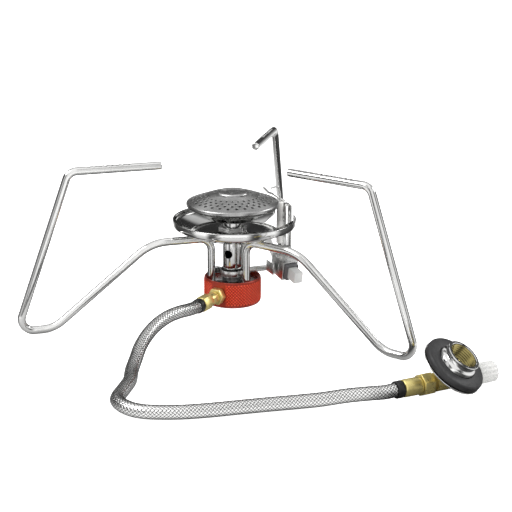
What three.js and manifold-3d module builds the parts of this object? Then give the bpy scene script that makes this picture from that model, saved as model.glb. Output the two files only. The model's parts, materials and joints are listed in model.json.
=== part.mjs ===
// A remote canister stove: a burner on three folding wire legs, with a piezo igniter, fed by a braided
// hose from a valve that screws onto a gas canister. Millimetres, +Z up, standing on z = 0.
import * as THREE from "three";
import { mergeVertices } from "three/addons/utils/BufferGeometryUtils.js";
import Module from "manifold-3d";

const wasm = await Module();
wasm.setup();

// ---- driving dimensions ----
const GAP = 0.3; // air between two pieces that touch on the real stove
const HUB_AT = [-3.55, -25.44]; // the burner's upright axis
const ROD_R = 2; // bent leg wire
const PIVOT_R = 10.8; // circle of the leg pivots
const PIVOT_FOOT_Z = 10.5;
const RUN_Z = 41.2; // the wire's level run under the tray
const KNEE_OUT = 31; // distances outward from the leg's own pivot
const FOOT_IN = 80.8;
const FOOT_OUT = 99.2;
const TOP_OUT = 70.6;
const ARM_END = 25;
const POT_Z = 80; // centre of the level pot arm
const BENDS = [6, 24, 16, 6, 5.5]; // bend radii from the pivot to the pot arm
const GRIP = { from: 40, to: 62, pitch: 2.75, deep: 0.5 }; // notches along the top of a pot arm
const LEGS = [
  { name: "left", pivot: 204, rest: 212.6 },
  { name: "right", pivot: 324, rest: 338 },
  { name: "back", pivot: 75, rest: 91 },
];
const HUB_R = 14.6;
const HUB_Z = [8.1, 21.3];
const HUB_FLOOR_Z = 17.3;
const PLATE_Z = [17.6, 18.6]; // keeps the legs in the hub
const NECK_NUT = { r: 5.4, z: [18.9, 22.9] };
const TUBE_R = 4.9; // mixing tube
const TUBE_WALL = 0.7;
const TUBE_Z = [23.2, 52.8];
const AIR_HOLE = { azimuth: -101.8, z: 33.4, r: 2.2 };
const TRAY_R = 30.8;
const TRAY_WALL = 0.6;
const TRAY_Z = [43.7, 47.6, 51.1]; // floor, crease and lip
const TRAY_FLOOR_R = 22;
const TRAY_SHIFT = 0.9; // the tray sits this far off the axis, towards its notch
const TRAY_NOTCH = { from: 27.4, to: 61.4, r: 22.2 }; // the wall is cut away here for the igniter
const CAP_R = 23.1;
const CAP_Z = [57.9, 64.7]; // rim and crown of the burner cap
const CUP_R = 12.3;
const CUP_Z = [51.4, 57.4];
const IGNITER_AZ = 36.4;
const CERAMIC = { out: 25.6, r: 1.75, bore: 0.8, z: [35.6, 57.2] };
const STRAP = { z: [21.8, 24.8], thick: 0.7, ring: 5.8, ear: 9.6, screw: 7.9, turn: -42 };
const SHEET = 0.7; // bracket sheet
const PIEZO = { at: [23.6, -2.2, 27.4], yaw: 7, pitch: 10, wide: 6.4, high: 7.6, long: 15.5 };
const BUTTON = { wide: 4.8, high: 5.8, inside: 8, out: 6.2, travel: 4 };
const INLET_AZ = -104.6; // gas inlet on the hub
const INLET_Z = 14.6;
const HOSE_R = 3.15;
const HOSE_SIDES = 8;
const HOSE_STEPS = 44;
const VALVE_AT = [111.2, -101.55, 5.4];
const VALVE_LEAN = 37; // the canister thread's axis leans this far from upright
const VALVE_LEAN_AZ = -15.6;
const VALVE_AXIS_AZ = 41.6; // the level axis from the hose's end through the valve to its knob
const KNOB = { r: 4.9, from: 18.2, to: 29, ribs: 14 };
const DISC_R = 14.8;
const DISC_Z = [8.9, 10.1, 13.2]; // backing plate, rubber seat and its face, along the thread's axis
const COLLAR = { foot: 8.8, waist: 7.5, lip: 8, top: 18.3 };
const THREAD_R = 5.6; // a 7/16 inch canister thread

// Hose route from the hub's sleeve to the valve's sleeve.
const HOSE_ROUTE = [
  [-12.4, -59.6, 14.6],
  [-14.4, -65.8, 15.2],
  [-17.2, -71.1, 15.6],
  [-21, -77.4, 15],
  [-24.3, -85.1, 13.2],
  [-26.1, -93.4, 10.9],
  [-26.5, -102.6, 8.3],
  [-25.5, -112, 5.8],
  [-24.1, -121.7, 4],
  [-21.6, -131.5, 3.2],
  [-20.9, -140.2, 3.2],
  [-19.6, -153.4, 3.2],
  [-16, -158.1, 3.2],
  [-11, -161.3, 3.2],
  [-5.2, -162.6, 3.2],
  [0, -162, 3.2],
  [10.8, -159, 3.2],
  [21.5, -154, 3.2],
  [32.3, -147.9, 3.2],
  [43.2, -141.8, 3.2],
  [54.9, -136.1, 3.4],
  [65.1, -131.6, 3.9],
  [75.2, -127, 4.9],
  [84.7, -123.5, 5.6],
  [90.2, -120.2, 5.4],
  [93.9, -116.9, 5.4],
];

const rad = THREE.MathUtils.degToRad;
const polar = (r, degrees) => [r * Math.cos(rad(degrees)), r * Math.sin(rad(degrees))];

// ---- finishes ----
const finish = (color, roughness, metalness) =>
  new THREE.MeshStandardMaterial({ color, roughness, metalness });
const steel = () => finish(0xc9cbcd, 0.2, 1);
const darkSteel = () => finish(0x4a4b4d, 0.35, 1);
const redAnodised = () => finish(0xb02a20, 0.4, 0.6);
const brass = () => finish(0xc9bd72, 0.3, 1);
const rubber = () => finish(0x2b2a2c, 0.75, 0);
const ceramicWhite = () => finish(0xf4f3ef, 0.35, 0);
const greyPlastic = () => finish(0x8a8a8a, 0.5, 0);
const palePlastic = () => finish(0xd6d6d4, 0.5, 0);
const blackPlastic = () => finish(0x1b1b1c, 0.5, 0);
const braid = () => finish(0xb4b6b8, 0.35, 0.9);

// ---- solids ----
function solid(geometry) {
  const plain = geometry.index ? geometry.toNonIndexed() : geometry.clone();
  plain.deleteAttribute("normal");
  plain.deleteAttribute("uv");
  const merged = mergeVertices(plain, 1e-4);
  return new wasm.Manifold(
    new wasm.Mesh({
      numProp: 3,
      vertProperties: merged.attributes.position.array,
      triVerts: new Uint32Array(merged.index.array),
    }),
  );
}

function geometryOf(made) {
  const mesh = made.getMesh();
  const geometry = new THREE.BufferGeometry();
  geometry.setAttribute("position", new THREE.BufferAttribute(mesh.vertProperties, 3));
  geometry.setIndex(new THREE.BufferAttribute(mesh.triVerts, 1));
  return geometry;
}

const cut = (body, ...tools) =>
  geometryOf(tools.reduce((left, tool) => left.subtract(solid(tool)), solid(body)));
const join = (...bodies) => geometryOf(bodies.map(solid).reduce((a, b) => a.add(b)));

// A turned piece about Z. The profile is [radius, height] pairs: from axis to axis, or a closed ring.
function turned(profile, sides = 32) {
  const points = profile.map(([r, z]) => new THREE.Vector2(r, z));
  const onAxis = profile[0][0] === 0 && profile[profile.length - 1][0] === 0;
  if (!onAxis) points.push(points[0].clone());
  if (THREE.ShapeUtils.area(points) < 0) points.reverse();
  return new THREE.LatheGeometry(points, sides).rotateX(Math.PI / 2);
}

const rod = (r, low, high, sides = 16) =>
  new THREE.CylinderGeometry(r, r, high - low, sides).rotateX(Math.PI / 2).translate(0, 0, (low + high) / 2);

const ring = (inner, outer, low, high, sides = 32) =>
  turned([[inner, low], [outer, low], [outer, high], [inner, high]], sides);

const box = (x, y, z) =>
  new THREE.BoxGeometry(x[1] - x[0], y[1] - y[0], z[1] - z[0]).translate(
    (x[0] + x[1]) / 2,
    (y[0] + y[1]) / 2,
    (z[0] + z[1]) / 2,
  );

// A six-sided nut blank along Z, sized across its flats.
const hexagon = (flats, low, high) => rod(flats / Math.sqrt(3), low, high, 6);

const alongX = (geometry) => geometry.rotateY(Math.PI / 2);

// A path that passes through exactly the stations it is given.
class StationPath extends THREE.Curve {
  constructor(stations) {
    super();
    this.stations = stations;
  }
  getPoint(t) {
    const place = t * (this.stations.length - 1);
    const at = Math.min(Math.floor(place), this.stations.length - 2);
    return this.stations[at].clone().lerp(this.stations[at + 1], place - at);
  }
  getPointAt(t) {
    return this.getPoint(t);
  }
  getTangentAt(t) {
    const at = Math.round(t * (this.stations.length - 1));
    const before = this.stations[Math.max(at - 1, 0)];
    const after = this.stations[Math.min(at + 1, this.stations.length - 1)];
    return after.clone().sub(before).normalize();
  }
}

const circleShape = (r, sides) =>
  new THREE.Shape(
    Array.from({ length: sides }, (_, i) => new THREE.Vector2(...polar(r, ((i + 0.5) * 360) / sides))),
  );
const flatsAt = (r, sides) => r / Math.cos(Math.PI / sides);

function wire(stations, r, sides = 12) {
  const path = new StationPath(stations);
  return new THREE.ExtrudeGeometry(circleShape(r, sides), {
    steps: stations.length - 1,
    extrudePath: path,
    bevelEnabled: false,
  });
}

// Corner points joined by straight runs, with each inner corner rounded to its radius.
function bentStations(corners, radii, turnPerStep = 25) {
  const stations = [corners[0]];
  for (let i = 1; i < corners.length - 1; i++) {
    const back = corners[i - 1].clone().sub(corners[i]).normalize();
    const on = corners[i + 1].clone().sub(corners[i]).normalize();
    const half = back.angleTo(on) / 2;
    const r = radii[i - 1];
    const middle = back.clone().add(on).normalize();
    const centre = corners[i].clone().addScaledVector(middle, r / Math.sin(half));
    const start = corners[i].clone().addScaledVector(back, r / Math.tan(half)).sub(centre);
    const end = corners[i].clone().addScaledVector(on, r / Math.tan(half)).sub(centre);
    const axis = start.clone().cross(end).normalize();
    const turn = start.angleTo(end);
    const steps = Math.max(2, Math.ceil(turn / rad(turnPerStep)));
    stations.push(start.clone().add(centre));
    for (let k = 1; k <= steps; k++) {
      stations.push(start.clone().applyAxisAngle(axis, (turn * k) / steps).add(centre));
    }
  }
  stations.push(corners[corners.length - 1]);
  return stations;
}

function mesh(name, geometry, material) {
  const made = new THREE.Mesh(geometry, material);
  made.name = name;
  return made;
}

function group(children, position = [0, 0, 0], turn = 0) {
  const made = new THREE.Group();
  made.position.set(...position);
  made.rotation.z = rad(turn);
  made.add(...children);
  return made;
}

// ---- legs ----
function legWire() {
  const corners = [
    [0, PIVOT_FOOT_Z],
    [0, RUN_Z],
    [KNEE_OUT, RUN_Z],
    [FOOT_IN, ROD_R],
    [FOOT_OUT, ROD_R],
    [TOP_OUT, POT_Z],
    [ARM_END, POT_Z],
  ].map(([out, z]) => new THREE.Vector3(out, 0, z));
  const notches = [];
  for (let out = GRIP.from; out < GRIP.to; out += GRIP.pitch) {
    const top = POT_Z + ROD_R;
    const notch = new THREE.BoxGeometry(GRIP.deep * 2, 4 * ROD_R, GRIP.deep * 2);
    notches.push(notch.rotateY(Math.PI / 4).translate(out, 0, top));
  }
  return cut(wire(bentStations(corners, BENDS), flatsAt(ROD_R, 12)), ...notches);
}

function leg({ name, pivot, rest }) {
  const clip = ring(flatsAt(ROD_R + GAP, 12), ROD_R + 1.3, PLATE_Z[0] - 1.2, PLATE_Z[0] - 0.5, 12);
  const slit = box([0, 4], [-0.6, 0.6], [PLATE_Z[0] - 2, PLATE_Z[0]]);
  return group(
    [mesh("leg_" + name, legWire(), steel()), mesh("leg_clip_" + name, cut(clip, slit), darkSteel())],
    [...polar(PIVOT_R, pivot), 0],
    rest,
  );
}

// ---- hub ----
const atPivots = (make) => LEGS.map(({ pivot }) => make().translate(...polar(PIVOT_R, pivot), 0));

function hubBody() {
  const cup = turned(
    [
      [0, HUB_Z[0]],
      [HUB_R - 0.8, HUB_Z[0]],
      [HUB_R, HUB_Z[0] + 0.8],
      [HUB_R, HUB_Z[1]],
      [HUB_R - 1.3, HUB_Z[1]],
      [HUB_R - 1.3, HUB_FLOOR_Z],
      [0, HUB_FLOOR_Z],
    ],
    32,
  );
  const flat = box([HUB_R - 0.9, HUB_R + 5], [-9, 9], [0, 30]).rotateZ(rad(INLET_AZ));
  const inlet = alongX(rod(2.4, HUB_R - 7, HUB_R + 1, 12)).translate(0, 0, INLET_Z);
  const passage = alongX(rod(1, 0.5, HUB_R, 8)).translate(0, 0, INLET_Z);
  return cut(
    cup,
    flat,
    inlet.rotateZ(rad(INLET_AZ)),
    passage.rotateZ(rad(INLET_AZ)),
    rod(2.7, INLET_Z - 2.4, 30, 16),
    ...atPivots(() => rod(flatsAt(ROD_R + GAP, 12), PIVOT_FOOT_Z - GAP, 30, 12)),
    ...atPivots(() => rod(flatsAt(ROD_R + 1.6, 12), PLATE_Z[0] - 1.5, 30, 12)),
  );
}

function hubPlate() {
  const plate = ring(4, HUB_R - 1.7, PLATE_Z[0], PLATE_Z[1], 32);
  return cut(plate, ...atPivots(() => rod(flatsAt(ROD_R + GAP, 12), 10, 30, 12)));
}

function neckNut() {
  const [low, high] = NECK_NUT.z;
  const nut = join(hexagon(NECK_NUT.r * 1.66, low, low + 2.2), rod(NECK_NUT.r - 0.6, low + 2, high, 24));
  return cut(nut, rod(2.8, low - 1, high + 1, 16));
}

function jet() {
  const low = INLET_Z - 1.8;
  const body = turned([[0, low], [2.3, low], [2.3, 20], [1.4, 21.6], [1.4, 22.6], [0, 22.6]], 16);
  return cut(body, rod(0.6, low - 1, 21.5, 8), rod(0.2, 21, 24, 6));
}

function hubInlet() {
  const inner = HUB_R - 0.6;
  const stub = rod(2.1, inner - 5, inner + 1, 12);
  const nut = join(stub, hexagon(7.6, inner, 17.6));
  const shoulder = turned([
    [0, 17.9],
    [2.9, 17.9],
    [3.1, 18.6],
    [3.1, 23.6],
    [0, 23.6],
  ], 24);
  const body = join(rod(2.1, 17.9, 20, 16), shoulder);
  const ferrule = hexagon(6.9, 23.9, 31.4);
  const bore = () => alongX(rod(0.9, 0, 40, 8));
  return group(
    [
      mesh("inlet_nut", cut(alongX(nut), bore()), brass()),
      mesh("inlet_body", cut(alongX(body), bore()), brass()),
      mesh("hub_ferrule", cut(alongX(ferrule), bore()), brass()),
      mesh("hub_sleeve", alongX(ring(2, 3.6, 31.7, 34.8, 20)), blackPlastic()),
    ],
    [0, 0, INLET_Z],
    INLET_AZ,
  );
}

// ---- burner ----
function mixingTube() {
  const [low, high] = TUBE_Z;
  const wall = ring(TUBE_R - TUBE_WALL, TUBE_R, low, high, 24);
  const air = alongX(rod(AIR_HOLE.r, -9, 9, 12)).translate(0, 0, AIR_HOLE.z);
  return cut(wall, air.rotateZ(rad(AIR_HOLE.azimuth)));
}

function tray() {
  const [floor, crease, lip] = TRAY_Z;
  const t = TRAY_WALL;
  const dish = turned(
    [
      [TUBE_R + 0.4 + TRAY_SHIFT, floor],
      [TRAY_FLOOR_R, floor],
      [TRAY_R - 0.9, crease - 0.4],
      [TRAY_R - 0.2, crease + 0.4],
      [TRAY_R, lip],
      [TRAY_R - t, lip],
      [TRAY_R - t - 0.2, crease + 0.7],
      [TRAY_R - t - 1.1, crease + 0.1],
      [TRAY_FLOOR_R - 0.2, floor + t],
      [TUBE_R + 0.4 + TRAY_SHIFT, floor + t],
    ],
    40,
  );
  const far = TRAY_R + 8;
  const corner = (r, degrees) => new THREE.Vector2(...polar(r, degrees));
  const { from, to, r } = TRAY_NOTCH;
  const middle = (from + to) / 2;
  const notch = new THREE.Shape([
    corner(r, from + 2),
    corner(far, from),
    corner(far * 1.06, middle),
    corner(far, to),
    corner(r, to - 2),
    corner(r * 1.01, middle),
  ]);
  const cutter = new THREE.ExtrudeGeometry(notch, { depth: 20, bevelEnabled: false });
  return cut(dish, cutter.translate(0, 0, floor - 5)).translate(...polar(TRAY_SHIFT, IGNITER_AZ - 21), 0);
}

function trayNut() {
  const low = TRAY_Z[0] + TRAY_WALL + GAP;
  return cut(hexagon(12.6, low, low + 2.6), rod(TUBE_R + GAP, low - 1, low + 4, 32));
}

function burnerCup() {
  const [low, high] = CUP_Z;
  const t = 0.8;
  return turned([
    [TUBE_R + GAP, low],
    [CUP_R, low],
    [CUP_R + 1.2, low + 1.1],
    [CAP_R - 2.6, high - 0.6],
    [CAP_R - 1, high - 0.4],
    [CAP_R - 1, high],
    [CAP_R - 3, high],
    [CUP_R + 0.4, low + t + 0.9],
    [CUP_R - 0.4, low + t],
    [TUBE_R + GAP, low + t],
  ], 32);
}

function burnerCap() {
  const [rim, crown] = CAP_Z;
  const t = 0.8;
  const outer = [
    [CAP_R - 1.2, rim - 0.2],
    [CAP_R, rim + 0.2],
    [CAP_R, rim + 1.3],
    [CAP_R - 0.5, rim + 1.8],
    [20.4, rim + 2.6],
    [16, crown - 2.3],
    [10.4, crown - 0.6],
    [7, crown],
    [6.4, crown - 0.4],
    [0, crown - 0.1],
  ];
  const inner = [
    [0, crown - 0.1 - t],
    [10, crown - 0.6 - t],
    [15.6, crown - 2.4 - t],
    [20, rim + 2.4 - t],
    [CAP_R - 1.2, rim + 1.4 - t],
  ];
  const rows = [
    [13, 12],
    [17, 16],
  ];
  const ports = [];
  rows.forEach(([r, count], row) => {
    for (let i = 0; i < count; i++) {
      const port = rod(0.6, rim, crown + 2, 4);
      ports.push(port.translate(...polar(r, ((i + row / 2) * 360) / count), 0));
    }
  });
  for (let i = 0; i < 3; i++) {
    ports.push(rod(0.8, rim, crown + 2, 6).translate(...polar(3.6, 30 + 120 * i), 0));
  }
  return cut(turned([...outer, ...inner].reverse(), 32), ...ports);
}

const flameGauze = () => rod(CAP_R - 2, CUP_Z[1] + 0.4, CUP_Z[1] + 0.8, 24);

// ---- igniter, built with +X outward from the burner's axis ----
function strap() {
  const [low, high] = STRAP.z;
  const band = ring(STRAP.ring, STRAP.ring + STRAP.thick, low, high, 24);
  const reach = PIEZO.at[0] - PIEZO.wide / 2 - GAP - SHEET - 0.4;
  const arm = box([STRAP.ring + 0.3, reach], [-STRAP.thick, 0], [low, high]);
  const tab = box([reach - STRAP.thick, reach], [-9, 0], [low, high + 2.6]);
  const ears = [[-0.9, -0.2], [0.5, 1.2]].map((y) => box([-STRAP.ear, -STRAP.ring - 0.2], y, [low, high]));
  const slit = box([-STRAP.ear - 1, -STRAP.ring + 1], [-0.2, 0.5], [low - 1, high + 1]);
  const hole = rod(0.8, -3, 3, 10).rotateX(Math.PI / 2).translate(-STRAP.screw, 0, (low + high) / 2);
  const clamp = cut(join(band, ...ears), slit, hole).rotateZ(rad(STRAP.turn));
  return join(clamp, arm, tab);
}

function clampScrew() {
  const at = [-STRAP.screw, 0, (STRAP.z[0] + STRAP.z[1]) / 2];
  const screw = join(rod(0.5, -2.2, 2, 10), rod(1.2, -2.2, -1.25, 12), hexagon(2.4, 1.55, 2.4));
  return screw.rotateX(Math.PI / 2).translate(...at).rotateZ(rad(STRAP.turn));
}

// The sheet that stands behind the ceramic tube: up, over the top and down again.
function igniterBracket() {
  const low = PIEZO.at[2] + PIEZO.high / 2 + GAP + SHEET + 0.45;
  const near = CERAMIC.out + CERAMIC.r + GAP;
  const top = CERAMIC.z[1] - 1.2;
  const outline = new THREE.Shape([
    [near, low + 6],
    [near + SHEET, low + 6],
    [near + SHEET, top - 1],
    [near + 1.3, top - SHEET],
    [near + 2.4, top - SHEET],
    [near + 3, top - 1.3],
    [near + 3, low + SHEET],
    [near - 4.6, low + SHEET],
    [near - 4.6, low],
    [near + 3 + SHEET, low],
    [near + 3 + SHEET, top - 1],
    [near + 2.8, top],
    [near + 1, top],
    [near, top - 0.8],
  ].map(([x, z]) => new THREE.Vector2(x, z)));
  const sheet = new THREE.ExtrudeGeometry(outline, { depth: 4.4, bevelEnabled: false });
  const standing = sheet.rotateX(Math.PI / 2).translate(0, 2.2, 0);
  const slots = [top - 5.5, top - 11].map((z) => box([near - 1, near + 6], [-0.8, 0.8], [z - 1.2, z + 1.2]));
  const leadHole = rod(CERAMIC.bore + 0.8, low - 1, low + 2, 12).translate(CERAMIC.out, 0, 0);
  return cut(standing, ...slots, leadHole);
}

function groundWire() {
  const top = CERAMIC.z[1] - 1.2;
  const bendPoints = [
    [CERAMIC.out + 3.4, 1.2, top + 0.9],
    [CERAMIC.out + 0.8, 2.6, top + 2.2],
    [22.8, 2.6, 60.8],
    [19.8, 1.4, 62.2],
    [16.4, 0.2, 65.6],
  ].map((p) => new THREE.Vector3(...p));
  return wire(bentStations(bendPoints, [0.8, 0.8, 1.4], 45), 0.55, 8);
}

function electrode() {
  const wirePoints = [
    [CERAMIC.out, 0, CERAMIC.z[0] + 1],
    [CERAMIC.out, 0, 61.5],
    [CERAMIC.out - 1.2, 0, 65.4],
    [20.6, 0, 64.6],
  ].map((p) => new THREE.Vector3(...p));
  return wire(bentStations(wirePoints, [2, 1], 40), 0.5, 8);
}

function sparkLead() {
  const [out, side, z] = PIEZO.at;
  const leadPoints = [
    [out, side + 2.6 * GAP, z + 0.2],
    [out + 0.2, side + 2.5, z + 0.4],
    [CERAMIC.out, side + 2.3, z + 4.1],
    [CERAMIC.out, 0, CERAMIC.z[0] - GAP],
  ].map((p) => new THREE.Vector3(...p));
  return wire(bentStations(leadPoints, [1, 1.2], 40), 0.8, 8);
}

function buttonSpring(low, high) {
  const turns = 4;
  const steps = turns * 6;
  const stations = Array.from({ length: steps + 1 }, (_, i) => {
    const [y, z] = polar(1.3, (i * 360 * turns) / steps);
    return new THREE.Vector3(low + ((high - low) * i) / steps, y, z);
  });
  return wire(stations, 0.25, 4);
}

// The piezo unit lies across the strap's end; its own +X runs from the back to the button.
function piezoUnit() {
  const { wide, high, long } = PIEZO;
  const w = wide / 2;
  const h = high / 2;
  const t = SHEET;
  const pocket = box([long - BUTTON.inside - 5, long + 1], [-BUTTON.wide / 2 - GAP, BUTTON.wide / 2 + GAP], [
    -BUTTON.high / 2 - GAP,
    BUTTON.high / 2 + GAP,
  ]);
  const body = cut(box([0, long], [-w, w], [-h, h]), pocket);
  const wrap = box([1.2, long - 2.5], [-w - GAP - t, w + GAP + t], [-h - GAP - t, h + GAP + t]);
  const room = box([-1, long + 1], [-w - GAP, w + GAP], [-h - GAP, h + GAP]);
  const holder = cut(wrap, room);
  const button = cut(
    box([long - BUTTON.inside, long + BUTTON.out], [-BUTTON.wide / 2, BUTTON.wide / 2], [
      -BUTTON.high / 2,
      BUTTON.high / 2,
    ]),
    alongX(rod(1.9, long - BUTTON.inside - 1, long - 1, 16)),
  );
  const unit = group([
    mesh("piezo_body", body, greyPlastic()),
    mesh("piezo_holder", holder, steel()),
    mesh("piezo_button", button, palePlastic()),
    mesh("button_spring", buttonSpring(long - BUTTON.inside - 4.4, long - BUTTON.travel - 1.6), darkSteel()),
  ]);
  unit.position.set(...PIEZO.at);
  unit.rotation.set(0, rad(PIEZO.pitch), rad(-90 + PIEZO.yaw), "ZYX");
  return unit;
}

function igniter() {
  const ceramic = ring(CERAMIC.bore, CERAMIC.r, CERAMIC.z[0], CERAMIC.z[1], 20).translate(CERAMIC.out, 0, 0);
  return group(
    [
      mesh("igniter_strap", strap(), steel()),
      mesh("clamp_screw", clampScrew(), darkSteel()),
      mesh("igniter_bracket", igniterBracket(), steel()),
      mesh("ceramic_insulator", ceramic, ceramicWhite()),
      mesh("electrode", electrode(), darkSteel()),
      mesh("ground_wire", groundWire(), darkSteel()),
      mesh("spark_lead", sparkLead(), blackPlastic()),
      piezoUnit(),
    ],
    [0, 0, 0],
    IGNITER_AZ,
  );
}

// ---- valve, built with +Z along the canister thread and +X towards the knob ----
function valveSeat() {
  const [plate, seat, face] = DISC_Z;
  const cupped = turned([
    [5.2, plate],
    [DISC_R - 0.6, plate],
    [DISC_R, plate + 0.5],
    [DISC_R, seat - GAP],
    [5.2, seat - GAP],
  ], 28);
  const pad = turned([
    [COLLAR.foot + GAP, seat],
    [DISC_R - 1, seat],
    [DISC_R - 0.2, seat + 0.8],
    [DISC_R - 0.4, face - 0.8],
    [DISC_R - 1.2, face],
    [COLLAR.foot + GAP, face],
  ], 28);
  const top = COLLAR.top;
  const collar = turned([
    [6.6, seat],
    [COLLAR.foot, seat],
    [COLLAR.foot, face + 1.4],
    [COLLAR.waist, face + 2.4],
    [COLLAR.waist, top - 1.4],
    [COLLAR.lip, top - 1],
    [COLLAR.lip, top],
    [6.6, top],
  ], 28);
  return [
    mesh("valve_plate", cupped, steel()),
    mesh("valve_pad", pad, rubber()),
    mesh("valve_collar", collar, steel()),
  ];
}

function valveThread() {
  const [plate, seat] = DISC_Z;
  const top = COLLAR.top;
  const insert = turned([
    [THREAD_R, seat],
    [6.3, seat],
    [6.3, top - 0.3],
    [6.1, top - 0.3],
    [THREAD_R, top - 1.3],
  ], 24);
  const low = plate + GAP;
  const pin = turned([
    [0, low],
    [1.9, low],
    [1.9, low + 0.9],
    [0.8, low + 1.5],
    [0.8, 14.4],
    [0, 14.4],
  ], 12);
  return [
    mesh("thread_insert", insert, brass()),
    mesh("canister_seal", ring(2.6, 4.6, low, low + 1.1, 20), rubber()),
    mesh("opening_pin", pin, brass()),
  ];
}

function valveBody(slope) {
  const [plate] = DISC_Z;
  const stem = turned([
    [0, 0],
    [3.4, 0],
    [3.4, 4],
    [5.4, 5],
    [5.4, plate - GAP],
    [4.9, plate - GAP],
    [4.9, plate],
    [0, plate],
  ], 20);
  const barrel = alongX(rod(4.2, -2.5, 9.4, 20)).rotateY(-slope);
  const inletBore = alongX(rod(1.2, -9, 0, 12)).rotateY(-slope);
  const seat = alongX(rod(0.6, -1, 3, 8)).rotateY(-slope);
  const needleBore = alongX(rod(1.5, 2.2, 12, 12)).rotateY(-slope);
  return cut(join(stem, barrel), inletBore, seat, needleBore, rod(0.8, 1, 12, 10));
}

// Pieces on the valve's level axis, with +X from the hose's end to the knob.
function valveInlet() {
  const nut = cut(hexagon(9.2, 4.5, 9.8), rod(0.9, 0, 20, 12));
  const ferrule = turned([
    [0.9, 10.1],
    [3.8, 10.1],
    [4, 10.7],
    [4, 18.3],
    [3.7, 19],
    [0.9, 19],
  ], 20);
  const turnedBack = (geometry) => alongX(geometry).rotateZ(Math.PI);
  return [
    mesh("valve_nut", turnedBack(nut), brass()),
    mesh("valve_ferrule", turnedBack(ferrule), brass()),
    mesh("valve_sleeve", turnedBack(ring(2, 3.9, 19.3, 22.7, 20)), blackPlastic()),
  ];
}

function knobBody() {
  const { r, from, to, ribs } = KNOB;
  const outline = Array.from({ length: ribs * 4 }, (_, i) => {
    const reach = i % 4 < 2 ? r : r - 0.5;
    return new THREE.Vector2(...polar(reach, (i * 90) / ribs));
  });
  const shape = new THREE.Shape(outline);
  const grip = new THREE.ExtrudeGeometry(shape, { depth: to - from, bevelEnabled: false });
  return cut(grip.translate(0, 0, from), rod(1.5, from - 1, from + 6, 12));
}

function valveControl() {
  const gland = cut(join(rod(2.6, 9.7, 15.2, 16), hexagon(6.2, 9.7, 12.8)), rod(1.5, 9, 16, 12));
  const needle = turned([[0, 2.6], [0.5, 3.2], [1.2, 4], [1.2, 6], [0, 6]], 12);
  const spindle = rod(1.2, 7.4, KNOB.from + 5.6, 12);
  return [
    mesh("gland_nut", alongX(gland), brass()),
    mesh("needle", alongX(needle), steel()),
    mesh("spindle", alongX(spindle), brass()),
    mesh("control_knob", alongX(knobBody()), palePlastic()),
  ];
}

function valve() {
  const [leanX, leanY] = polar(Math.sin(rad(VALVE_LEAN)), VALVE_LEAN_AZ);
  const up = new THREE.Vector3(leanX, leanY, Math.cos(rad(VALVE_LEAN)));
  const along = new THREE.Vector3(...polar(1, VALVE_AXIS_AZ), 0);
  const slope = Math.asin(along.dot(up));
  const across = along.clone().addScaledVector(up, -along.dot(up)).normalize();
  const side = up.clone().cross(across);
  const axisPieces = group([...valveInlet(), ...valveControl()]);
  axisPieces.rotation.y = -slope;
  const body = mesh("valve_body", valveBody(slope), brass());
  const made = group([body, ...valveSeat(), ...valveThread(), axisPieces]);
  made.quaternion.setFromRotationMatrix(new THREE.Matrix4().makeBasis(across, side, up));
  made.position.set(...VALVE_AT);
  return made;
}

function hose() {
  const points = HOSE_ROUTE.map((p) => new THREE.Vector3(...p));
  const curve = new THREE.CatmullRomCurve3(points, false, "centripetal");
  return wire(curve.getSpacedPoints(HOSE_STEPS), HOSE_R, HOSE_SIDES);
}

// ---- the stove ----
const stove = group(
  [
    mesh("hub_body", hubBody(), redAnodised()),
    mesh("hub_plate", hubPlate(), steel()),
    mesh("neck_nut", neckNut(), darkSteel()),
    mesh("jet", jet(), brass()),
    mesh("mixing_tube", mixingTube(), steel()),
    mesh("tray", tray(), steel()),
    mesh("tray_nut", trayNut(), steel()),
    mesh("burner_cup", burnerCup(), steel()),
    mesh("burner_cap", burnerCap(), steel()),
    mesh("flame_gauze", flameGauze(), darkSteel()),
    hubInlet(),
    igniter(),
    ...LEGS.map(leg),
  ],
  [...HUB_AT, 0],
);

export default group([stove, valve(), mesh("hose", hose(), braid())]);
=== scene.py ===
"""Looks of a remote canister stove, built round its fixed frame. Lengths in the lists are millimetres."""

import json
import math

import bmesh
import bpy
from bpy.props import FloatProperty, FloatVectorProperty, IntProperty, PointerProperty
from mathutils import Matrix, Vector


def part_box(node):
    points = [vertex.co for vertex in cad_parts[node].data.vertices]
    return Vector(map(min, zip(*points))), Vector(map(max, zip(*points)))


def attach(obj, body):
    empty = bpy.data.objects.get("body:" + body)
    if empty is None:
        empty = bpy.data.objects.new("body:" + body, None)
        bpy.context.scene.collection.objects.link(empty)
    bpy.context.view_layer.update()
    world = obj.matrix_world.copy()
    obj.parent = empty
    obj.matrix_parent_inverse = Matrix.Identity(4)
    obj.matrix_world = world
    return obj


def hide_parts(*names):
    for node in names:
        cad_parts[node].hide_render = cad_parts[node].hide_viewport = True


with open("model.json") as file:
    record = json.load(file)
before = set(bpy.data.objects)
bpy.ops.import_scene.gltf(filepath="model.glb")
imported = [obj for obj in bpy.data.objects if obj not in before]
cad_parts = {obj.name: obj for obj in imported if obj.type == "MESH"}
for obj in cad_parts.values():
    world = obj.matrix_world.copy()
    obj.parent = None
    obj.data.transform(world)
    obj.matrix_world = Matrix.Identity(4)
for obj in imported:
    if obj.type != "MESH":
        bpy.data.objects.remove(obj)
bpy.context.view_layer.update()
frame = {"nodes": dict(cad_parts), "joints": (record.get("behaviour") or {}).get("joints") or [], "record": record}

bl_info = {
    "name": "Canister Stove",
    "version": (1, 0, 0),
    "blender": (4, 5, 0),
    "location": "3D View > Sidebar > Stove",
    "description": "Detailed pieces and finishes of a folding canister stove",
    "category": "Add Mesh",
}

MM = 0.001
UP = Vector((0, 0, 1))
FULL_TURN = 2 * math.pi

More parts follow.
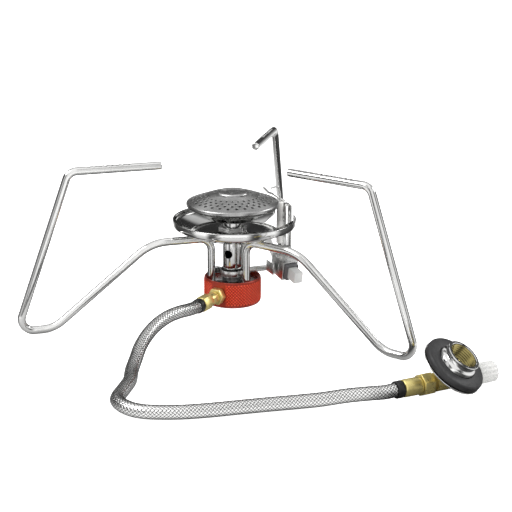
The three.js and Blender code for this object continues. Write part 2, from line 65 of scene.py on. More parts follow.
# ---- places taken from the frame ----
JOINTS = {j["name"]: j for j in frame["joints"]}
MOUNTS = {m["name"]: m for m in frame["record"]["mounts"]}


def ground_under(cad):
    """The point on the ground under the middle of a CAD node's box."""
    low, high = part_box(cad)
    middle = (low + high) / 2
    return Vector((middle.x, middle.y, 0))


HUB = ground_under("mixing_tube")
INLET_AZ = -104.6  # degrees about the hub, as every azimuth here
IGNITER_AZ = 36.4


def about_hub(degrees):
    """A frame on the burner's axis, turned by an angle about it."""
    return Matrix.Translation(HUB) @ Matrix.Rotation(math.radians(degrees), 4, "Z")


def leg_place(side):
    """A leg's own frame: origin under its pivot, +X outward along the leg."""
    pivot = Vector(JOINTS[f"leg_{side}_swivel"]["pos_m"])
    foot = Vector(MOUNTS[f"foot_{side}"]["pos_m"])
    turn = math.atan2(foot.y - pivot.y, foot.x - pivot.x)
    return Matrix.Translation((pivot.x, pivot.y, 0)) @ Matrix.Rotation(turn, 4, "Z")


KNOB_REACH = 20  # from the valve's middle to the knob's joint
KNOB_AXIS = Vector(JOINTS["knob_turn"]["axis"]).normalized()
THREAD_AXIS = Vector(MOUNTS["canister_seat"]["axis"]).normalized()
VALVE_AT = Vector(JOINTS["knob_turn"]["pos_m"]) - KNOB_AXIS * KNOB_REACH * MM


def valve_seat_place():
    """The valve's frame with +Z along the canister's thread."""
    across = (KNOB_AXIS - THREAD_AXIS * KNOB_AXIS.dot(THREAD_AXIS)).normalized()
    turn = Matrix((across, THREAD_AXIS.cross(across), THREAD_AXIS)).transposed().to_4x4()
    return Matrix.Translation(VALVE_AT) @ turn


# ---- settings ----
def size_setting(name, description, size):
    """A length setting. Its default is given in millimetres."""
    return FloatProperty(name=name, description=description, default=size * MM, unit="LENGTH")


def colour_setting(name, description, colour):
    """A colour setting."""
    return FloatVectorProperty(name=name, description=description, default=colour, subtype="COLOR")


class StoveSizes(bpy.types.PropertyGroup):
    """Sizes of the stove's fine details."""

    knurl: size_setting("Knurl pitch", "Width of one diamond on the hub", 1.6)
    knurl_depth: size_setting("Knurl depth", "Depth of the hub's diamonds", 0.45)
    braid_depth: size_setting("Braid depth", "Relief of the hose's braid", 0.13)
    braid_strands: IntProperty(name="Braid strands", description="Bands each way round the hose", default=12)
    port_size: size_setting("Port size", "Width of a flame port", 1.6)
    sheet: size_setting("Sheet", "Thickness of the burner cap's sheet", 0.6)


class StoveColours(bpy.types.PropertyGroup):
    """Base colours of the stove's finishes."""

    steel: colour_setting("Steel", "Polished wire and dishes", (0.80, 0.80, 0.79))
    cap: colour_setting("Cap steel", "Stamped burner cap", (0.52, 0.52, 0.515))
    red: colour_setting("Hub red", "Anodised hub", (0.88, 0.075, 0.03))
    brass: colour_setting("Brass", "Fittings", (0.88, 0.74, 0.29))
    rubber: colour_setting("Rubber", "Canister pad", (0.012, 0.012, 0.013))
    knob: colour_setting("Knob", "Milky control knob", (0.86, 0.86, 0.84))
    floor: colour_setting("Floor", "Studio floor", (0.92, 0.92, 0.92))


def sizes():
    """The scene's size settings."""
    return bpy.context.scene.stove_sizes


def colours():
    """The scene's colour settings."""
    return bpy.context.scene.stove_colours


# ---- shader groups ----
def node(tree, kind, **values):
    """A node with its attributes and input defaults set. Input names use spaces."""
    made = tree.nodes.new(kind)
    for key, value in values.items():
        if hasattr(made, key):
            setattr(made, key, value)
        else:
            made.inputs[key.replace("_", " ")].default_value = value
    return made


def join(tree, *links):
    """Link outputs to inputs, each link given as (node, output, node, input)."""
    for source, given, target, taken in links:
        tree.links.new(source.outputs[given], target.inputs[taken])


def new_group(name, inputs, outputs):
    """A shader node group with its sockets, and its input and output nodes."""
    group = bpy.data.node_groups.new(name, "ShaderNodeTree")
    for way, sockets in (("INPUT", inputs), ("OUTPUT", outputs)):
        for label, kind in sockets:
            group.interface.new_socket(label, in_out=way, socket_type=kind)
    return group, group.nodes.new("NodeGroupInput"), group.nodes.new("NodeGroupOutput")


NUMBER, VECTOR = "NodeSocketFloat", "NodeSocketVector"
FINE_GRAIN = 12  # times finer than the cloudy tone


def grain_group():
    """Cloudy tone, fine grain and drawn lines, each a value from 0 to 1."""
    found = bpy.data.node_groups.get("Metal grain")
    if found:
        return found
    group, inside, outside = new_group(
        "Metal grain",
        [("Vector", VECTOR), ("Scale", NUMBER), ("Stretch", VECTOR)],
        [("Cloud", NUMBER), ("Grain", NUMBER), ("Lines", NUMBER)],
    )
    cloud = node(group, "ShaderNodeTexNoise", Detail=3.0, Roughness=0.6)
    grain = node(group, "ShaderNodeTexNoise", Detail=4.0, Roughness=0.7)
    lines = node(group, "ShaderNodeTexNoise", Detail=5.0, Roughness=0.65)
    finer = node(group, "ShaderNodeMath", operation="MULTIPLY")
    finer.inputs[1].default_value = FINE_GRAIN
    stretch = node(group, "ShaderNodeVectorMath", operation="MULTIPLY")
    join(
        group,
        (inside, "Vector", cloud, "Vector"), (inside, "Vector", grain, "Vector"), (inside, "Vector", stretch, 0),
        (inside, "Stretch", stretch, 1), (stretch, "Vector", lines, "Vector"), (inside, "Scale", cloud, "Scale"),
        (inside, "Scale", finer, 0), (finer, 0, grain, "Scale"), (finer, 0, lines, "Scale"),
        (cloud, "Fac", outside, "Cloud"), (grain, "Fac", outside, "Grain"), (lines, "Fac", outside, "Lines"),
    )
    return group


def braid_group():
    """Two sets of strand bands woven over and under, from a hose's own UV map."""
    group, inside, outside = new_group(
        "Braid weave",
        [("UV", VECTOR), ("Round", NUMBER), ("Along", NUMBER), ("Wires", NUMBER)],
        [("Height", NUMBER), ("Wire", NUMBER)],
    )
    link = group.links.new

    def maths(operation, a, b=None):
        made = node(group, "ShaderNodeMath", operation=operation)
        for place, value in ((0, a), (1, b)):
            if isinstance(value, (int, float)):
                made.inputs[place].default_value = value
            elif value is not None:
                link(value, made.inputs[place])
        return made.outputs[0]

    apart = node(group, "ShaderNodeSeparateXYZ")
    link(inside.outputs["UV"], apart.inputs[0])
    round_turns = maths("MULTIPLY", apart.outputs["X"], inside.outputs["Round"])
    along_turns = maths("MULTIPLY", apart.outputs["Y"], inside.outputs["Along"])
    left = maths("ADD", along_turns, round_turns)
    right = maths("SUBTRACT", along_turns, round_turns)
    parity = maths("FLOORED_MODULO", maths("ADD", maths("FLOOR", left), maths("FLOOR", right)), 2.0)

    def hump(value):
        return maths("SINE", maths("MULTIPLY", maths("FRACT", value), math.pi))

    def single_wires(value):
        return hump(maths("MULTIPLY", value, inside.outputs["Wires"]))

    def pick(a, b):
        mix = node(group, "ShaderNodeMix", data_type="FLOAT")
        link(parity, mix.inputs["Factor"])
        link(a, mix.inputs["A"])
        link(b, mix.inputs["B"])
        return mix.outputs["Result"]

    link(pick(hump(left), hump(right)), outside.inputs["Height"])
    link(pick(single_wires(left), single_wires(right)), outside.inputs["Wire"])
    return group


# ---- finishes ----
def finish_of(name, colour, roughness, metallic=0.0, **values):
    """A new material and its shader, with constants set on the shader's own sockets."""
    material = bpy.data.materials.new(name)
    material.use_nodes = True
    shader = material.node_tree.nodes["Principled BSDF"]
    shader.inputs["Base Color"].default_value = (*colour, 1)
    shader.inputs["Roughness"].default_value = roughness
    shader.inputs["Metallic"].default_value = metallic
    for key, value in values.items():
        shader.inputs[key.replace("_", " ")].default_value = value
    return material, shader


def grain_on(tree, scale, stretch=(1, 1, 1)):
    """The grain group on a piece's Object coordinates."""
    place = node(tree, "ShaderNodeTexCoord")
    grain = node(tree, "ShaderNodeGroup", node_tree=grain_group(), Scale=scale, Stretch=stretch)
    join(tree, (place, "Object", grain, "Vector"))
    return grain


def textured(
    name, colour, shade, rough, metallic, scale, stretch=(1, 1, 1), bump=0.02, lines=0.5, deep=0.05, **values
):
    """A finish whose tone, gloss and surface vary by the grain group.

    shade is the darker tone, rough the two ends of the roughness, lines the share of drawn lines in the grain,
    bump the relief's strength and deep its height in millimetres.
    """
    material, shader = finish_of(name, colour, rough[0], metallic, **values)
    tree = material.node_tree
    grain = grain_on(tree, scale, stretch)
    spread = node(tree, "ShaderNodeMapRange", From_Min=0.35, From_Max=0.7)
    tone = node(tree, "ShaderNodeMix", data_type="RGBA", A=(*colour, 1), B=(*shade, 1))
    both = node(tree, "ShaderNodeMix", data_type="FLOAT", Factor=lines)
    gloss = node(tree, "ShaderNodeMapRange", From_Min=0.3, From_Max=0.75, To_Min=rough[0], To_Max=rough[1])
    relief = node(tree, "ShaderNodeBump", Strength=bump, Distance=deep * MM)
    join(
        tree,
        (grain, "Cloud", spread, "Value"), (spread, "Result", tone, "Factor"),
        (tone, "Result", shader, "Base Color"), (grain, "Grain", both, "A"),
        (grain, "Lines", both, "B"), (both, "Result", gloss, "Value"),
        (gloss, "Result", shader, "Roughness"), (both, "Result", relief, "Height"),
        (relief, "Normal", shader, "Normal"),
    )
    return material


def darker(colour, share):
    """A colour with each channel at a share of its value."""
    return tuple(c * share for c in colour)


def finish_values(c):
    """Each finish's tone, darker tone, roughness ends, metallic and grain scale, then its other values."""
    steel, brass = c.steel, c.brass
    return {
        "polished wire": (
            steel, darker(steel, 0.82), (0.07, 0.2), 1.0, 55, {"stretch": (1, 1, 0.15), "bump": 0.05},
        ),
        "polished dish": (steel, darker(steel, 0.8), (0.06, 0.17), 1.0, 45, {"bump": 0.03}),
        # A darker copy of the polished steel: painted shade and a painted dark reflection for the tray's inside.
        "mirror with painted shade": (darker(steel, 0.55), darker(steel, 0.4), (0.05, 0.13), 1.0, 40, {"bump": 0.03}),
        "stamped cap": (c.cap, darker(c.cap, 0.66), (0.24, 0.38), 1.0, 90, {"bump": 0.12, "lines": 0.3}),
        "brushed sheet": (
            darker(steel, 0.94), darker(steel, 0.74), (0.2, 0.38), 1.0, 50,
            {"stretch": (1, 1, 0.1), "bump": 0.1, "lines": 0.8},
        ),
        "dark steel": ((0.2, 0.2, 0.2), (0.1, 0.1, 0.1), (0.25, 0.5), 1.0, 80, {"bump": 0.1}),
        "turned brass": (brass, darker(brass, 0.74), (0.24, 0.42), 0.8, 60, {"bump": 0.06, "lines": 0.6}),
        # Painted shade: a darker copy of the brass for the thread insert inside the valve.
        "shaded brass": (
            darker(brass, 0.5), darker(brass, 0.24), (0.16, 0.32), 1.0, 60, {"bump": 0.06, "lines": 0.6},
        ),
        "charcoal rubber": (
            c.rubber, (0.03, 0.03, 0.031), (0.42, 0.66), 0.0, 110, {"bump": 0.25, "lines": 0.2, "deep": 0.08},
        ),
        "black sleeve": ((0.004, 0.004, 0.004), (0.012, 0.012, 0.012), (0.3, 0.5), 0.0, 90, {"bump": 0.15}),
        "white ceramic": ((0.87, 0.86, 0.84), (0.78, 0.77, 0.74), (0.22, 0.34), 0.0, 80, {"bump": 0.04}),
        "grey plastic": ((0.12, 0.12, 0.125), (0.08, 0.08, 0.085), (0.4, 0.55), 0.0, 120, {"bump": 0.12}),
        "pale plastic": ((0.62, 0.62, 0.61), (0.52, 0.52, 0.51), (0.38, 0.52), 0.0, 120, {"bump": 0.1}),
        "milky plastic": (
            c.knob, darker(c.knob, 0.88), (0.2, 0.34), 0.0, 100,
            {"bump": 0.06, "Transmission_Weight": 0.18, "IOR": 1.46},
        ),
    }


def knurled_finish(c):
    """Red anodising, with painted highlights on the knurl's peaks and painted shade in the hollows between them.
    """
    material, shader = finish_of("red anodised", c.red, 0.34, 0.45, Coat_Weight=0.15, Coat_Roughness=0.2)
    tree = material.node_tree
    grain = grain_on(tree, 90)
    peak = node(tree, "ShaderNodeAttribute", attribute_name="peak")
    # Painted light: the peak attribute picks a lighter red on the raised corners and a darker red in the hollows,
    # then the cloudy grain varies it.
    tone = node(tree, "ShaderNodeValToRGB")
    tone.color_ramp.elements[0].color = (*darker(c.red, 0.42), 1)
    tone.color_ramp.elements[1].color = (min(1, c.red[0] * 1.2), c.red[1] * 2.2, c.red[2] * 2.4, 1)
    tone.color_ramp.elements.new(0.5).color = (*c.red, 1)
    painted_light_clouded = node(tree, "ShaderNodeMix", data_type="RGBA", blend_type="MULTIPLY", Factor=0.2)
    gloss = node(tree, "ShaderNodeMapRange", To_Min=0.26, To_Max=0.46)
    join(
        tree,
        (peak, "Fac", tone, "Fac"), (tone, "Color", painted_light_clouded, "A"), (grain, "Cloud", painted_light_clouded, "B"),
        (painted_light_clouded, "Result", shader, "Base Color"), (grain, "Grain", gloss, "Value"),
        (gloss, "Result", shader, "Roughness"),
    )
    return material


def finish_named(name):
    """The finish with this name, made the first time it is asked for."""
    found = bpy.data.materials.get(name)
    if found:
        return found
    if name == "red anodised":
        return knurled_finish(colours())
    *main, others = finish_values(colours())[name]
    return textured(name, *main, **others)


def braid_finish(length):
    """Bright wire braid on the hose's own UV map, with painted shade in the grooves between the strand bands and
    along the hose's edges.
    """
    material, shader = finish_of("wire braid", (0.6, 0.6, 0.6), 0.28, 1.0)
    tree = material.node_tree
    uv = node(tree, "ShaderNodeUVMap", uv_map="UVMap")
    weave = node(tree, "ShaderNodeGroup", node_tree=braid_group(), Along=braid_turns(length), Wires=4)
    weave.inputs["Round"].default_value = sizes().braid_strands
    # Painted shade: the weave's height turns the colour black where the strand bands dip and bright on their
    # crests.
    tone = node(tree, "ShaderNodeValToRGB")
    tone.color_ramp.elements[0].position = 0.3
    tone.color_ramp.elements[0].color = (0.015, 0.015, 0.015, 1)
    tone.color_ramp.elements[1].position = 0.72
    tone.color_ramp.elements[1].color = (0.95, 0.95, 0.94, 1)
    # Painted shade: the colour darkens towards the hose's edges as its surface turns away from view.
    turned_away = node(tree, "ShaderNodeLayerWeight", Blend=0.5)
    edge = node(tree, "ShaderNodeMapRange", From_Min=0.3, From_Max=0.85, To_Min=1.0, To_Max=0.14)
    painted_edge_shade = node(tree, "ShaderNodeMix", data_type="RGBA", blend_type="MULTIPLY", Factor=1)
    gloss = node(tree, "ShaderNodeMapRange", To_Min=0.3, To_Max=0.14)
    relief = node(tree, "ShaderNodeBump", Strength=0.5, Distance=0.06 * MM)
    join(
        tree,
        (uv, "UV", weave, "UV"), (weave, "Height", tone, "Fac"), (turned_away, "Facing", edge, "Value"),
        (tone, "Color", painted_edge_shade, "A"), (edge, "Result", painted_edge_shade, "B"), (painted_edge_shade, "Result", shader, "Base Color"),
        (weave, "Wire", gloss, "Value"), (gloss, "Result", shader, "Roughness"),
        (weave, "Wire", relief, "Height"), (relief, "Normal", shader, "Normal"),
    )
    return material


# ---- shapes ----
SOFTEN_ANGLE = 28  # edges sharper than this are softened
SHARP_ANGLE = 38  # edges sharper than this are shaded sharp


def spun(profile, steps, closed=True):
    """A bmesh turned about Z from (radius, height) points, a closed section or an open sheet."""
    bm = bmesh.new()
    points = [bm.verts.new((r * MM, 0, z * MM)) for r, z in profile]
    edges = [bm.edges.new(pair) for pair in zip(points, points[1:])]
    if closed:
        edges.append(bm.edges.new((points[-1], points[0])))
    bmesh.ops.spin(
        bm, geom=points + edges, cent=(0, 0, 0), axis=(0, 0, 1), angle=FULL_TURN, steps=steps, use_merge=True
    )
    bmesh.ops.remove_doubles(bm, verts=bm.verts, dist=1e-6)
    bmesh.ops.recalc_face_normals(bm, faces=bm.faces)
    return bm


def bevelled(bm, edges, width, segments):
    """Round some edges over, by a width in millimetres."""
    bmesh.ops.bevel(
        bm, geom=edges, offset=width * MM, offset_type="OFFSET", segments=segments,
        profile=0.5, affect="EDGES", clamp_overlap=True, material=-1,
    )


def moved(bm, matrix):
    """The same bmesh after a transform."""
    bmesh.ops.transform(bm, matrix=matrix, verts=bm.verts)
    return bm


def tube_frames(path):
    """A pair of cross directions at each point of a path, carried along without twist."""
    behind, ahead = [path[0], *path[:-1]], [*path[1:], path[-1]]
    tangents = [(b - a).normalized() for a, b in zip(behind, ahead)]
    side = tangents[0].orthogonal().normalized()
    if abs(tangents[0].dot(UP)) < 0.99:
        side = tangents[0].cross(UP).normalized()
    frames = []
    for tangent in tangents:
        side = (side - tangent * side.dot(tangent)).normalized()
        frames.append((side, side.cross(tangent)))
    return frames


def swept(path, radius, sides, caps, relief=None):
    """A bmesh tube along a path in metres, with a UV map.

    caps is the rounding of its ends in millimetres, and relief gives extra radius at (round, along) shares.
    """
    bm = bmesh.new()
    bm.loops.layers.uv.new("UVMap")
    last = len(path) - 1
    bmesh.ops.create_grid(bm, x_segments=sides, y_segments=last, size=0.5, calc_uvs=True)
    frames = tube_frames(path)
    for vert in bm.verts:
        u, v = vert.co.x + 0.5, vert.co.y + 0.5
        at = round(v * last)
        side, over = frames[at]
        reach = radius + (relief(u, v) if relief else 0)
        turn = u * FULL_TURN
        vert.co = path[at] + (side * math.cos(turn) + over * math.sin(turn)) * reach
    bmesh.ops.remove_doubles(bm, verts=bm.verts, dist=1e-7)
    rims = [e for e in bm.edges if e.is_boundary]
    bmesh.ops.holes_fill(bm, edges=rims, sides=0)
    bmesh.ops.recalc_face_normals(bm, faces=bm.faces)
    if caps:
        ends = [e for e in bm.edges if len(e.link_faces) == 2 and any(len(f.verts) > 4 for f in e.link_faces)]
        bevelled(bm, ends, caps, 3)
    return bm


def bent(corners, radii, degrees):
    """A path in metres through corners in millimetres, rounded with a point every few degrees."""
    corners = [Vector(c) for c in corners]
    path = [corners[0]]
    for i in range(1, len(corners) - 1):
        back = (corners[i - 1] - corners[i]).normalized()
        on = (corners[i + 1] - corners[i]).normalized()
        half = back.angle(on) / 2
        radius = radii[i - 1]
        centre = corners[i] + (back + on).normalized() * (radius / math.sin(half))
        start = corners[i] + back * (radius / math.tan(half)) - centre
        end = corners[i] + on * (radius / math.tan(half)) - centre
        turn = start.angle(end)
        axis = start.cross(end).normalized()
        steps = max(3, math.ceil(math.degrees(turn) / degrees))
        path += [Matrix.Rotation(turn * k / steps, 3, axis) @ start + centre for k in range(steps + 1)]
    path.append(corners[-1])
    return [p * MM for p in path]


SPLINE_STEPS = 24


def between(a, b, at_a, at_b, t):
    """The point at time t on the line that passes a and b at their own times."""
    return a * ((at_b - t) / (at_b - at_a)) + b * ((t - at_a) / (at_b - at_a))


def spline_path(points, spacing):
    """A smooth centripetal path through points, resampled at one spacing, and its length. All in metres."""
    points = [2 * points[0] - points[1], *points, 2 * points[-1] - points[-2]]
    fine = []
    for p0, p1, p2, p3 in zip(points, points[1:], points[2:], points[3:]):
        t1 = (p1 - p0).length ** 0.5
        t2 = t1 + (p2 - p1).length ** 0.5
        t3 = t2 + (p3 - p2).length ** 0.5
        for k in range(SPLINE_STEPS):
            t = t1 + (t2 - t1) * k / SPLINE_STEPS
            middle = between(p1, p2, t1, t2, t)
            before = between(between(p0, p1, 0, t1, t), middle, 0, t2, t)
            after = between(middle, between(p2, p3, t2, t3, t), t1, t3, t)
            fine.append(between(before, after, t1, t2, t))
    fine.append(points[-2])
    lengths = [0.0]
    for a, b in zip(fine, fine[1:]):
        lengths.append(lengths[-1] + (b - a).length)
    count = round(lengths[-1] / spacing)
    path, at = [], 0
    for k in range(count + 1):
        want = lengths[-1] * k / count
        while at < len(fine) - 2 and lengths[at + 1] < want:
            at += 1
        share = (want - lengths[at]) / (lengths[at + 1] - lengths[at])
        path.append(fine[at].lerp(fine[at + 1], share))
    return path, lengths[-1]


def added(name, data):
    """A new object in the scene, at the origin."""
    made = bpy.data.objects.new(name, data)
    bpy.context.scene.collection.objects.link(made)
    return made


def mesh_of(bm, name):
    """A mesh that takes over a bmesh's shape."""
    mesh = bpy.data.meshes.new(name)
    bm.to_mesh(mesh)
    bm.free()
    return mesh


def facing_hub(thing, place):
    """Put a camera or a lamp at a place from the hub's foot, looking back at it."""
    thing.location = HUB + place
    thing.rotation_euler = (HUB - thing.location).to_track_quat("-Z", "Y").to_euler()


def split_big_faces(bm):
    """Triangulate the faces with more than four corners."""
    bmesh.ops.triangulate(bm, faces=[f for f in bm.faces if len(f.verts) > 4])


def piece(bm, name, body, finish, slot, *nodes, sharp=SHARP_ANGLE):
    """Turn a bmesh into a finished piece that rides on a body and stands for CAD nodes."""
    mesh = mesh_of(bm, name)
    mesh.shade_smooth()
    mesh.set_sharp_from_angle(angle=math.radians(sharp))
    made = added(name, mesh)
    mesh.materials.append(finish if isinstance(finish, bpy.types.Material) else finish_named(finish))
    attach(made, body)
    if nodes:
        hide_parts(*nodes)
    return made


def refined(cad, finish, slot, body="stove", bevel=0.1, merge=True):
    """A copy of a CAD node with softened edges, and flat faces merged where asked, standing for it."""
    bm = bmesh.new()
    bm.from_mesh(frame["nodes"][cad].data)
    bmesh.ops.remove_doubles(bm, verts=bm.verts, dist=2e-6)
    if merge:
        bmesh.ops.dissolve_limit(bm, angle_limit=math.radians(1.5), verts=bm.verts, edges=bm.edges)
    limit = math.radians(SOFTEN_ANGLE)
    bevelled(bm, [e for e in bm.edges if len(e.link_faces) == 2 and e.calc_face_angle(0) > limit], bevel, 2)
    split_big_faces(bm)
    return piece(bm, cad + "_detail", body, finish, slot, cad, sharp=35)


def add_rod(bm, radius, length, segments, place):
    """Add a closed cylinder, lengths in metres, along a place's own Z."""
    bmesh.ops.create_cone(
        bm, cap_ends=True, segments=segments, radius1=radius, radius2=radius, depth=length, matrix=place
    )


def cut_away(made, cutter_bm, sharp=SHARP_ANGLE):
    """Cut a shape out of a finished piece, in place."""
    cutter = added("cutter", mesh_of(cutter_bm, "cutter"))
    tool = made.modifiers.new("hole", "BOOLEAN")
    tool.object = cutter
    tool.solver = "EXACT"
    bpy.context.view_layer.update()
    depsgraph = bpy.context.evaluated_depsgraph_get()
    result = bpy.data.meshes.new_from_object(made.evaluated_get(depsgraph))
    made.modifiers.clear()
    made.data = result
    bpy.data.objects.remove(cutter)
    result.set_sharp_from_angle(angle=math.radians(sharp))


# ---- camera ----
CAMERA_FROM = Vector((175.8, -638.3, 231.6))
LENS = 96.5
SHIFT = (0.0458, 0.1148)


class STOVE_OT_camera(bpy.types.Operator):
    """Place the camera in front of the stove"""

    bl_idname = "stove.camera"
    bl_label = "Camera"

    def execute(self, context):
        camera = added("camera", bpy.data.cameras.new("camera"))
        facing_hub(camera, CAMERA_FROM * MM)
        camera.data.lens = LENS
        camera.data.sensor_width = 36
        camera.data.shift_x, camera.data.shift_y = SHIFT
        camera.data.clip_start = 0.01
        context.scene.camera = camera
        return {"FINISHED"}


# ---- hose ----
HOSE_ROUTE = [
    (-12.4, -59.6, 14.6), (-14.4, -65.8, 15.2), (-17.2, -71.1, 15.6), (-21, -77.4, 15), (-24.3, -85.1, 13.2),
    (-26.1, -93.4, 10.9), (-26.5, -102.6, 8.3), (-25.5, -112, 5.8), (-24.1, -121.7, 4), (-21.6, -131.5, 3.2),
    (-20.9, -140.2, 3.2), (-19.6, -153.4, 3.2), (-16, -158.1, 3.2), (-11, -161.3, 3.2), (-5.2, -162.6, 3.2),
    (0, -162, 3.2), (10.8, -159, 3.2), (21.5, -154, 3.2), (32.3, -147.9, 3.2), (43.2, -141.8, 3.2),
    (54.9, -136.1, 3.4), (65.1, -131.6, 3.9), (75.2, -127, 4.9), (84.7, -123.5, 5.6), (90.2, -120.2, 5.4),
    (93.9, -116.9, 5.4),
]
HOSE_R = 3.15
HOSE_SIDES = 72
HOSE_STEP, CORD_STEP = 0.3, 2.4  # spacing of the mesh's rings and of the route points that declare_hose works out
BRAID_PROUD = 0.04  # how far the braid's crests stand over the hose's radius


def braid_turns(length):
    """Strand bands along the hose, for bands that cross at about a right angle."""
    band = FULL_TURN * HOSE_R * MM / sizes().braid_strands
    return round(length / band)


def braid_height(u, v, strands, turns):
    """Height from 0 to 1 of the band on top, at shares round and along the hose."""
    left = v * turns + u * strands
    right = v * turns - u * strands
    on_top = left if (math.floor(left) + math.floor(right)) % 2 == 0 else right
    return math.sin(math.pi * (on_top % 1))


class STOVE_OT_hose(bpy.types.Operator):
    """Build the braided hose"""

    bl_idname = "stove.hose"
    bl_label = "Braided hose"

    def execute(self, context):
        points = [Vector(p) * MM for p in HOSE_ROUTE]
        path, length = spline_path(points, HOSE_STEP * MM)
        turns = braid_turns(length)
        strands, deep = sizes().braid_strands, sizes().braid_depth
        base = (HOSE_R + BRAID_PROUD) * MM - deep

        def relief(u, v):
            return deep * braid_height(u, v, strands, turns)

        bm = swept(path, base, HOSE_SIDES, caps=0, relief=relief)
        piece(bm, "hose_braid", "stove", braid_finish(length), "wire_braid", "hose", sharp=80)
        return {"FINISHED"}


def declare_hose():
    """The hose's route at the cord spacing and its length, worked out after the valve's pieces; neither is used.
    """
    path, length = spline_path([Vector(p) * MM for p in HOSE_ROUTE], CORD_STEP * MM)


# ---- legs ----
LEG_CORNERS = [
    (0, 0, 10.5), (0, 0, 41.2), (31, 0, 41.2), (80.8, 0, 2), (99.2, 0, 2), (70.6, 0, 80), (25, 0, 80),
]
LEG_BENDS = [6, 24, 16, 6, 5.5]
LEG_R = 2
LEG_SIDES, LEG_STEP, LEG_END = 24, 0.65, 0.45
GRIP_FROM, GRIP_TO, GRIP_PITCH, GRIP_DEPTH = 40, 62, 2.75, 0.5
GRIP_SHARE = 0.36  # half a notch's width, as a share of the pitch
GRIP_ZONE = 0.6  # only this much of the wire's top is pressed
LEG_NAMES = ("left", "right", "back")


def even_path(path, spacing):
    """The same path with extra points on its long straight runs."""
    points = [path[0]]
    for a, b in zip(path, path[1:]):
        steps = max(1, round((b - a).length / spacing))
        points += [a.lerp(b, k / steps) for k in range(1, steps + 1)]
    return points


def cut_grips(bm):
    """Press the row of grip notches into the top of the arm."""
    top = (LEG_CORNERS[-1][2] + LEG_R) * MM
    for vert in bm.verts:
        out = vert.co.x / MM
        if vert.co.z < top - GRIP_ZONE * MM or not GRIP_FROM <= out <= GRIP_TO:
            continue
        away = abs((out - GRIP_FROM) % GRIP_PITCH - GRIP_PITCH / 2)
        depth = GRIP_DEPTH * max(0, 1 - away / (GRIP_PITCH * GRIP_SHARE))
        vert.co.z = min(vert.co.z, top - depth * MM)


def wire_leg():
    """One leg bent from round wire, in its own frame."""
    path = even_path(bent(LEG_CORNERS, LEG_BENDS, 3), LEG_STEP * MM)
    bm = swept(path, LEG_R * MM, LEG_SIDES, LEG_END)
    cut_grips(bm)
    return bm


class STOVE_OT_legs(bpy.types.Operator):
    """Build the three folding wire legs and their clips"""

    bl_idname = "stove.legs"
    bl_label = "Legs"

    def execute(self, context):
        for side in LEG_NAMES:
            body = f"leg_{side}_body"
            bm = moved(wire_leg(), leg_place(side))
            piece(bm, f"leg_{side}_wire", body, "polished wire", "polished_stainless", f"leg_{side}", sharp=40)
            refined(f"leg_clip_{side}", "dark steel", "dark_steel", body)
        return {"FINISHED"}


# ---- hub ----
HUB_R, HUB_LOW, HUB_HIGH, HUB_WALL, HUB_FLOOR, HUB_FLAT = 14.6, 8.1, 21.3, 1.3, 17.3, 13.7
KNURL_LOW, KNURL_HIGH = 9.2, 20.4
HUB_IN = HUB_R - HUB_WALL
HUB_LIP = [(14.35, 20.8), (14.0, HUB_HIGH), (HUB_IN + 0.2, HUB_HIGH), (HUB_IN, 21.1), (HUB_IN, HUB_FLOOR)]
HUB_SHARP = 20  # the knurl's edges are shallow
HUB_FOOT = [(14.35, 8.9), (13.7, HUB_LOW)]
BORE_GAP = 0.3  # air round a leg's wire
BORE_OVER = 1  # how far the cutters reach over the hub's floor
TUBE_PROFILE = [(4.2, 23.2), (4.7, 23.2), (4.9, 23.5), (4.9, 52.5), (4.7, 52.8), (4.2, 52.8)]
AIR_HOLE_AZ, AIR_HOLE_OUT, AIR_HOLE_Z, AIR_HOLE_R, AIR_HOLE_DEEP = -101.8, 5, 33.4, 2.2, 6


def knurled_band(columns, rows, depth):
    """An upright band of raised diamonds round Z."""
    bm = bmesh.new()
    # The peak layer marks the raised corners, which the red finish paints lighter as highlights, and the hollows,
    # which it paints darker as shade.
    peak = bm.verts.layers.float.new("peak")
    bmesh.ops.create_grid(bm, x_segments=columns, y_segments=rows, size=0.5)
    for vert in bm.verts:
        u, v = vert.co.x + 0.5, vert.co.y + 0.5
        column, row = round(u * columns), round(v * rows)
        raised = (column + row) % 2 == 1 and 0 < row < rows
        vert[peak] = 1 if raised else 0
        radius = HUB_R * MM - (0 if raised else depth)
        height = (KNURL_LOW + (KNURL_HIGH - KNURL_LOW) * v) * MM
        turn = u * FULL_TURN
        vert.co = (radius * math.cos(turn), radius * math.sin(turn), height)
    bmesh.ops.remove_doubles(bm, verts=bm.verts, dist=1e-7)
    split_low(bm, depth)
    return bm


def split_low(bm, depth):
    """Split each face of the band between its two low corners, so that the raised ones become peaks."""
    edge = HUB_R * MM - depth / 2
    for face in list(bm.faces):
        low = [v for v in face.verts if math.hypot(v.co.x, v.co.y) < edge]
        if len(low) == 2 and len(face.verts) == 4 and not bm.edges.get(low):
            bmesh.utils.face_split(face, low[0], low[1])


def grow(bm, rim, radius, height):
    """Extrude a rim to a new radius and height, in millimetres, and return the new rim."""
    made = bmesh.ops.extrude_edge_only(bm, edges=rim)["geom"]
    for vert in (v for v in made if isinstance(v, bmesh.types.BMVert)):
        share = radius * MM / math.hypot(vert.co.x, vert.co.y)
        vert.co = (vert.co.x * share, vert.co.y * share, height * MM)
    return [e for e in made if isinstance(e, bmesh.types.BMEdge)]


def close_rim(bm, low, profile):
    """Carry a band's lower or upper rim through (radius, height) points and fill it in."""
    rims = [e for e in bm.edges if e.is_boundary]
    middle = (KNURL_LOW + KNURL_HIGH) / 2 * MM
    rim = [e for e in rims if (e.verts[0].co.z < middle) == low]
    for radius, height in profile:
        rim = grow(bm, rim, radius, height)
    bmesh.ops.holes_fill(bm, edges=rim, sides=0)


